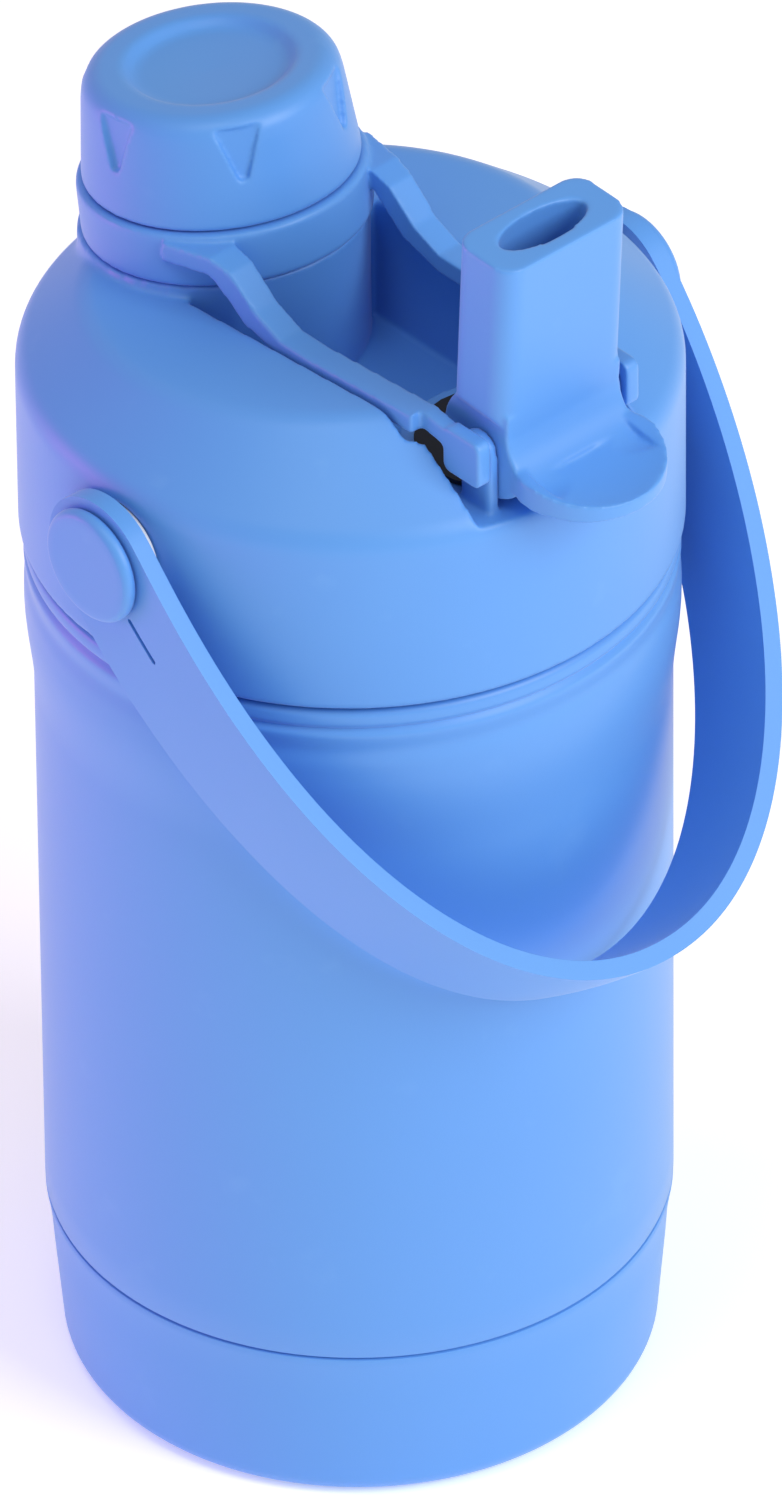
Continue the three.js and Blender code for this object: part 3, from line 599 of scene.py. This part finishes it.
def carrier_moulding():
    hoop = turned("cap_carrier_moulding", [
        (ring_bore_r, 0), (27.6, 0), (28.2, 0.3), (28.4, 1), (28.4, ring_h - 1), (28.2, ring_h - 0.3),
        (27.6, ring_h), (ring_bore_r, ring_h), (ring_bore_r, 0),
    ], spout_foot, spout_axis, 128)
    path = [
        (pivot_y + 5, deck_at(pivot_y) - 0.6), (pivot_y + 10, deck_at(pivot_y + 10) + 1),
        (-14, deck_at(-14) + 1),
        (-6, deck_at(-6) + 1.6), (1, deck_at(0) + 5), (8, 261.8), (13, 263.1), (24, 262.1),
    ]
    lower = [(y + (3.2 if 3 < i < 6 else 0), z - arm_h) for i, (y, z) in enumerate(path)]
    arm_side = path + lower[::-1]
    flare = [
        (23.5, 2), (23.7, 7), (24.2, 11), (24.9, 15), (25.8, 19), (26.7, 23), (27.2, 27), (20, 27), (19, 2),
    ]
    bore = rod("ring_bore", ring_bore_r, spout_foot - spout_axis * 2, spout_foot + spout_axis * 13.2, 128)
    arms = None
    for side in (-1, 1):
        arm = prism("arm", [(side * arm_in, y, z) for y, z in arm_side], (side * arm_t, 0, 0))
        lug = [(side * arm_in, pivot_y + y, pivot_z + z) for y, z in rounded_plan(lug_half, lug_half, 1.8)]
        eye = prism("eye", lug, (side * lug_t, 0, 0))
        ends = sorted((side * lug_out, side * 40))
        combine(arm, "DIFFERENCE", slab("trim", (ends[0], -80, 200), (ends[1], pivot_y + 11, 300)))
        combine(arm, "UNION", eye)
        start, end = (side * 10, pivot_y, pivot_z), (side * (pin_reach + gap), pivot_y, pivot_z)
        combine(arm, "DIFFERENCE", rod("pin_hole", pin_hole_r, start, end, 32))
        root = prism("root", [(side * x, y, 240) for x, y in flare], (0, 0, 40))
        root_side = prism("root_side", [(side * 18, y, z) for y, z in arm_side], (side * 12, 0, 0))
        combine(root, "INTERSECT", root_side)
        combine(arm, "UNION", root)
        arms = combine(arm, "UNION", arms) if arms else arm
    combine(arms, "DIFFERENCE", bore)
    combine(hoop, "UNION", arms)
    return mould(hoop, 0.42)


carrier = carrier_moulding()
fit(carrier, "cap_carrier", "lid_blue", SATIN, "cap_carrier")


# ---- Straw spout ----------------------------------------------------------------------
# The flip-up mouthpiece: a flat oval-holed spout on a round hub, with a dished thumb tab
# that reaches out over the front of the lid.
straw_lean = math.radians(3)
straw_top, mouth_shift = 45, 1.6
waist_half, mouth_half = 14.5, 16.3
hub_r, hub_half = 11.4, 14.7
front_y, front_r, front_z, front_half = -6.1, 9, 5.5, 12.7
straw_axis = Vector((0, -math.sin(straw_lean), math.cos(straw_lean)))
straw_back = Vector((0, math.cos(straw_lean), math.sin(straw_lean)))
straw_pivot = Vector((0, pivot_y, pivot_z))


def on_straw(x, y, z):
    return straw_pivot + across_x * x + straw_back * y + straw_axis * z


def round_rim(piece, towards, radius, segments=5):
    """Rounds the edge of every flat face that looks one way."""
    for face in piece.data.polygons:
        face.select = face.normal.dot(towards) > 0.99
    pick(piece)
    bpy.ops.object.mode_set(mode="EDIT")
    bpy.ops.mesh.select_mode(type="FACE")
    bpy.ops.mesh.region_to_loop()
    bpy.ops.mesh.bevel(offset=radius * MM, segments=segments)
    bpy.ops.mesh.select_mode(type="VERT")
    return close(piece)


def straw_moulding():
    corners = rounded_plan(16.2, 7.7, 4.5)
    mouth_plan = [on_straw(x, y + mouth_shift, 0) for x, y in corners]
    mouth = prism("straw_spout_moulding", mouth_plan, straw_axis * straw_top)
    round_rim(mouth, straw_axis, 1.8)
    right = [(waist_half, -1), (waist_half, 6.6), (mouth_half, 9.4), (mouth_half, straw_top + 1)]
    waist = [(-waist_half, -1), *right, *[(-x, z) for x, z in right[:0:-1]]]
    combine(mouth, "INTERSECT", prism("waist", [on_straw(x, -12, z) for x, z in waist], straw_back * 24))
    hub = rod("hub", hub_r, straw_pivot - across_x * hub_half, straw_pivot + across_x * hub_half)
    brow_face = ((-20, front_z), (20, front_z), (20, 20), (-20, 20))
    brow = prism("brow", [on_straw(x, front_y, z) for x, z in brow_face], straw_back * -12)
    low_y = front_y - front_r
    front = rod("front", front_r, on_straw(-20, low_y, front_z), on_straw(20, low_y, front_z), 128)
    combine(hub, "DIFFERENCE", front, brow)
    fillet_ends = [on_straw(x, low_y, front_z) for x in (-front_half, front_half)]
    fillet = rod("fillet", front_r, *fillet_ends, 128)
    root, reach, half, tab_low, tab_t, scoop_r = 14.6, 28, 16, -6.5, 5.3, 46
    tab_plan = [
        (root, 0), (root, -7.2), *bow(0, half - reach, half, 0, -180, 32), (-root, -7.2), (-root, 0),
    ]
    tab = prism("tab", [on_straw(x, y, tab_low) for x, y in tab_plan], straw_axis * tab_t)
    bpy.ops.object.select_all(action="DESELECT")
    middle = on_straw(0, -18, 42) * MM
    bpy.ops.mesh.primitive_uv_sphere_add(segments=128, ring_count=96, radius=scoop_r * MM, location=middle)
    scoop = bpy.context.object
    bpy.ops.object.transform_apply(location=True, rotation=True, scale=True)
    combine(tab, "DIFFERENCE", scoop, fillet)
    oval = [(10.6 * x, 4.4 * y) for x, y in bow(0, 0, 1, 0, 352.5, 47)]
    hole = prism("mouth_hole", [on_straw(x, y + mouth_shift, 20) for x, y in oval], straw_axis * 30)
    bore = rod("bore", 3.2, on_straw(0, 4.2, 0) - straw_axis * 13.4, on_straw(0, 1, 24))
    combine(mouth, "UNION", hub, tab)
    combine(mouth, "DIFFERENCE", hole, bore)
    for side in (-1, 1):
        start, end = straw_pivot + across_x * side * 10.4, straw_pivot + across_x * side * 20
        combine(mouth, "DIFFERENCE", rod("pin_hole", pin_hole_r, start, end, 32))
    return mould(mouth, 0.4, 9)


straw = straw_moulding()
fit(straw, "straw_spout", "lid_blue", SATIN, "straw_spout")


# ---- Carry loop -----------------------------------------------------------------------
# A moulded band, wide at its round eyes and slimmer at the grip, that hangs round the
# front of the jug on two side pivots.
handle_drop = math.radians(50.6)
handle_in, handle_t, handle_reach = 65.7, 3.8, 119
eye_half, grip_half = 13.8, 13
squareness = 0.971
slit = [(12.6, 0.2), (22, 0.5), (22.5, 1), (22, 1.5), (12.6, 1.2), (12.2, 0.7)]


def band_half(v):
    """Half the band's width at a distance from the pivots."""
    if v < 0:
        return math.sqrt(max(eye_half ** 2 - v * v, 0.3))
    share = min(1, max(0, (v - 14) / 50))
    return eye_half + (grip_half - eye_half) * share


def bridge(name, first, second, cuts):
    """A strip of faces between two chains of points."""
    low = draw(name, first)
    bpy.ops.object.mode_set(mode="OBJECT")
    draw(name + "_edge", second)
    bpy.ops.object.mode_set(mode="OBJECT")
    low.select_set(True)
    bpy.context.view_layer.objects.active = low
    bpy.ops.object.join()
    bpy.ops.object.mode_set(mode="EDIT")
    bpy.ops.mesh.select_all(action="SELECT")
    bpy.ops.mesh.bridge_edge_loops(number_cuts=cuts)
    return close(low)


def loop_moulding():
    half = handle_in + handle_t / 2
    far = handle_reach - handle_t / 2
    ends = [-13.7, -13.3, -12.4, -10.9, -8.8, -6.2, -3.2]
    curve = []
    for i in range(65):
        turn = math.pi * i / 64
        c, s = math.cos(turn), math.sin(turn)
        curve.append((math.copysign(abs(c) ** squareness, c) * half, far * abs(s) ** squareness))
    path = [(half, v) for v in ends] + curve + [(-half, v) for v in ends[::-1]]
    out = Vector((0, -math.cos(handle_drop), -math.sin(handle_drop)))
    up = Vector((0, -math.sin(handle_drop), math.cos(handle_drop)))
    pivot = Vector((0, handle_y, handle_z))
    low = [(pivot + across_x * u + out * v - up * band_half(v)) * MM for u, v in path]
    high = [(pivot + across_x * u + out * v + up * band_half(v)) * MM for u, v in path]
    band = bridge("carry_loop", low, high, 5)
    modify(band, "SOLIDIFY", thickness=handle_t * MM, offset=0, use_even_offset=True)
    modify(band, "BEVEL", width=1.5 * MM, segments=4, limit_method="ANGLE", angle_limit=math.radians(50))
    modify(band, "SUBSURF", levels=1, render_levels=1)
    for side in (-1, 1):
        spot = [pivot + across_x * side * 55 + out * v + up * w for v, w in slit]
        combine(band, "DIFFERENCE", prism("slit", spot, across_x * side * 20))
    return smooth(band, 50)


loop = loop_moulding()
fit(loop, "handle", "lid_blue", SATIN, "handle")


# ---- Loop pivots ----------------------------------------------------------------------
# Each side of the loop turns on a moulded pin between a slippery washer and a domed
# button that is pressed over the end of the pin.
def white_plastic(name, rough):
    paint = Paint(
        name, Specular_IOR_Level=0.45,
        Subsurface_Weight=0.15, Subsurface_Scale=0.004, Subsurface_Radius=(1, 1, 1),
    )
    cloud = paint.noise(30, 3)
    grain = paint.noise(2400, 2)
    base = paint.mix(cloud, rgb(0.86, 0.89, 0.92), rgb(0.92, 0.94, 0.95))
    paint.set(Base_Color=base, Roughness=rough + cloud * 0.08)
    paint.bump(grain, 0.12, 0.04 * MM)
    return paint.material


WHITE = white_plastic("liner_white", 0.42)
button_r, button_t = 11.8, 2.8
for label, side in (("left", -1), ("right", 1)):
    face = Vector((side * (handle_in + handle_t + gap), handle_y, handle_z))
    button = turned("loop_button_" + label, [
        (0, 0), (button_r - 1, 0), (button_r - 0.4, 0.15), (button_r - 0.1, 0.5), (button_r, 0.9),
        *bow(button_r - 1.7, button_t - 1.7, 1.7, 0, 80, 7), (button_r - 3, button_t - 0.02), (0, button_t),
    ], face, across_x * side, 96)
    fit(smooth(button), "lid", "lid_blue", SATIN, "handle_button_" + label)
    washer = turned("loop_washer_" + label, [
        (loop_pin_r, 0.2), (loop_pin_r + 0.3, 0), (10.7, 0), (11, 0.25), (11, 1.85), (10.7, 2.1),
        (loop_pin_r + 0.3, 2.1), (loop_pin_r, 1.9), (loop_pin_r, 0.2),
    ], (side * (seat_in + gap), handle_y, handle_z), across_x * side, 96)
    fit(smooth(washer), "lid", "liner_white", WHITE, "handle_washer_" + label)
    keep("handle_pivot_" + label, SATIN)
    keep("spout_pin_" + label, STEEL)


# ---- Seals, straw and liner -----------------------------------------------------------
# The black valve seal under the straw spout, the white liner that screws over the neck,
# its gaskets, the vent valve, and the soft straw on its nipple.
def silicone(name, dark, pale, rough):
    paint = Paint(
        name, Specular_IOR_Level=0.4,
        Subsurface_Weight=0.1, Subsurface_Scale=0.003, Subsurface_Radius=(1, 1, 1),
    )
    cloud = paint.noise(40, 3)
    paint.set(Base_Color=paint.mix(cloud, dark, pale), Roughness=rough + cloud * 0.1)
    paint.bump(paint.noise(1800, 2), 0.15, 0.04 * MM)
    return paint.material


BLACK = silicone("silicone_black", rgb(0.08, 0.08, 0.09), rgb(0.12, 0.12, 0.13), 0.5)
MILKY = silicone("silicone_milky", rgb(0.80, 0.83, 0.85), rgb(0.88, 0.9, 0.91), 0.45)
for node, material in (
    ("spout_seal", BLACK), ("lid_liner", WHITE), ("lid_gasket", MILKY), ("vent_valve", MILKY),
    ("cap_insert", WHITE), ("cap_gasket", MILKY), ("straw_nipple", MILKY), ("straw_tube", MILKY),
):
    keep(node, material)
